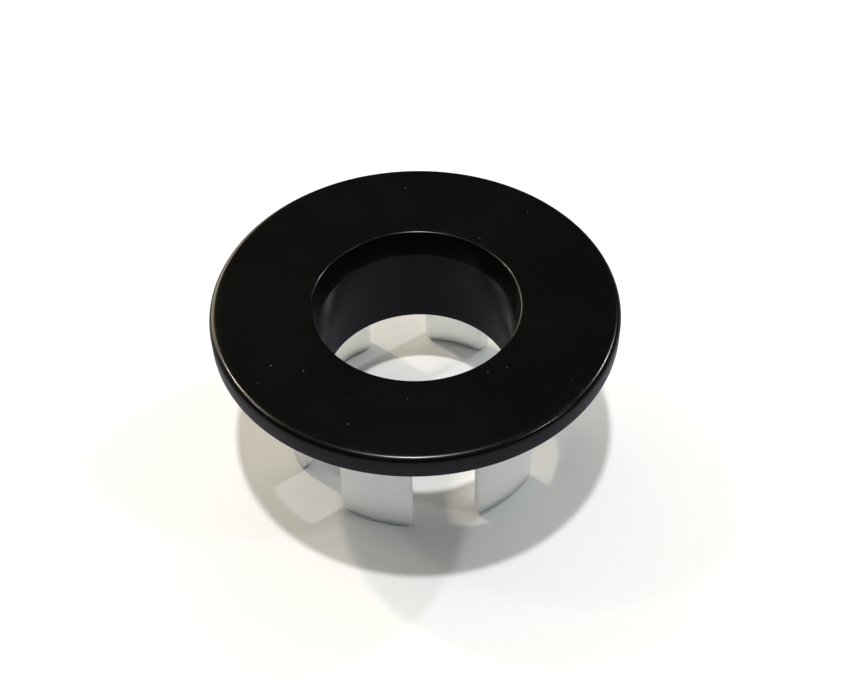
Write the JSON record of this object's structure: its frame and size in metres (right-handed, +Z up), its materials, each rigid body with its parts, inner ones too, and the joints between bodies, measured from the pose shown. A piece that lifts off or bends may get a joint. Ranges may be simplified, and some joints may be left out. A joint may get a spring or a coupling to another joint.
{
  "type": "basin overflow ring",
  "caption": "Round black trim ring with a bevelled bore and a short tube, on a translucent snap-in clip whose springy legs grip a basin's overflow hole.",
  "frame": {"origin": "on the ring's axis, at the height of the feet that the part stands on", "axes": "+Z up, along the axis of the bore and out of the face that shows; -Y faces a viewer standing in front"},
  "size_m": [0.03, 0.03, 0.014],
  "materials": {
    "satin_black": "satin black coating on metal",
    "clip_plastic": "natural translucent moulded plastic"
  },
  "bodies": {
    "ring": {"trim_ring": "satin_black", "clip_collar": "clip_plastic"},
    "leg_1": {"clip_leg_1": "clip_plastic"},
    "leg_2": {"clip_leg_2": "clip_plastic"},
    "leg_3": {"clip_leg_3": "clip_plastic"},
    "leg_4": {"clip_leg_4": "clip_plastic"},
    "leg_5": {"clip_leg_5": "clip_plastic"},
    "leg_6": {"clip_leg_6": "clip_plastic"}
  },
  "joints": [
    {"name": "leg_1_flex", "type": "hinge", "parent": "ring", "child": "leg_1", "pos_m": [0.0096, 0.00169, 0.0113], "axis": [-0.1736, 0.9848, 0], "range_deg": [-3, 7], "stiffness_Nm_per_rad": 0.2},
    {"name": "leg_2_flex", "type": "hinge", "parent": "ring", "child": "leg_2", "pos_m": [0.00333, 0.00916, 0.0113], "axis": [-0.9397, 0.342, 0], "range_deg": [-3, 7], "stiffness_Nm_per_rad": 0.2},
    {"name": "leg_3_flex", "type": "hinge", "parent": "ring", "child": "leg_3", "pos_m": [-0.00627, 0.00747, 0.0113], "axis": [-0.766, -0.6428, 0], "range_deg": [-3, 7], "stiffness_Nm_per_rad": 0.2},
    {"name": "leg_4_flex", "type": "hinge", "parent": "ring", "child": "leg_4", "pos_m": [-0.0096, -0.00169, 0.0113], "axis": [0.1736, -0.9848, 0], "range_deg": [-3, 7], "stiffness_Nm_per_rad": 0.2},
    {"name": "leg_5_flex", "type": "hinge", "parent": "ring", "child": "leg_5", "pos_m": [-0.00333, -0.00916, 0.0113], "axis": [0.9397, -0.342, 0], "range_deg": [-3, 7], "stiffness_Nm_per_rad": 0.2},
    {"name": "leg_6_flex", "type": "hinge", "parent": "ring", "child": "leg_6", "pos_m": [0.00627, -0.00747, 0.0113], "axis": [0.766, 0.6428, 0], "range_deg": [-3, 7], "stiffness_Nm_per_rad": 0.2}
  ]
}
